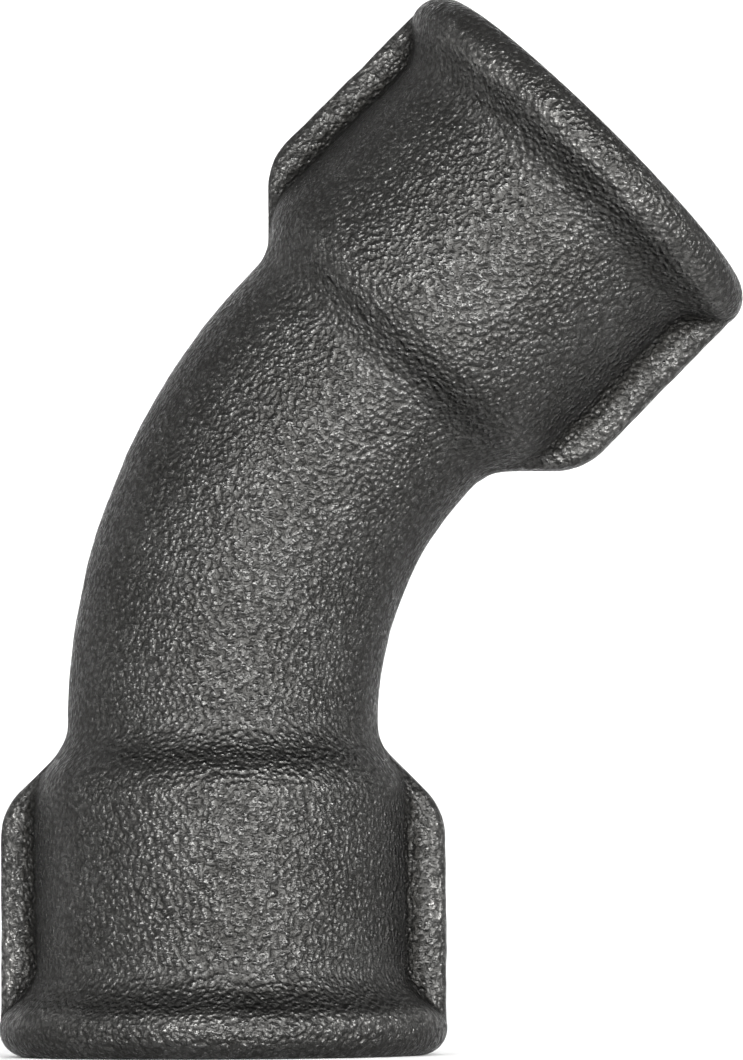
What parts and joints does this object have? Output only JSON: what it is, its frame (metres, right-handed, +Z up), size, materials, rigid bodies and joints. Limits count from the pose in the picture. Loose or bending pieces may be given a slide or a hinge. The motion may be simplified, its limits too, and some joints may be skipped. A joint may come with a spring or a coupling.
{
  "type": "pipe elbow",
  "caption": "Long sweep 45 degree pipe elbow in black cast iron, with two internally threaded sockets, each with a rounded rim and side ribs.",
  "frame": {"origin": "middle of the bounding box's footprint, on the plane of the lower mouth. The lower socket's axis is the vertical line through (-0.0101, 0, 0), and the two socket axes cross at (-0.0101, 0, 0.036)", "axes": "+Z up along the lower socket's axis, away from its mouth; the elbow bends in the XZ plane towards +X, so the upper mouth faces +X and +Z at 45 degrees; +Y is the bend plane's normal"},
  "size_m": [0.0501, 0.03, 0.0711],
  "materials": {
    "black_malleable_iron": "as cast in sand, oiled black oxide"
  },
  "bodies": {
    "root": {"lower_socket": "black_malleable_iron", "bend": "black_malleable_iron", "upper_socket": "black_malleable_iron"}
  },
  "joints": []
}
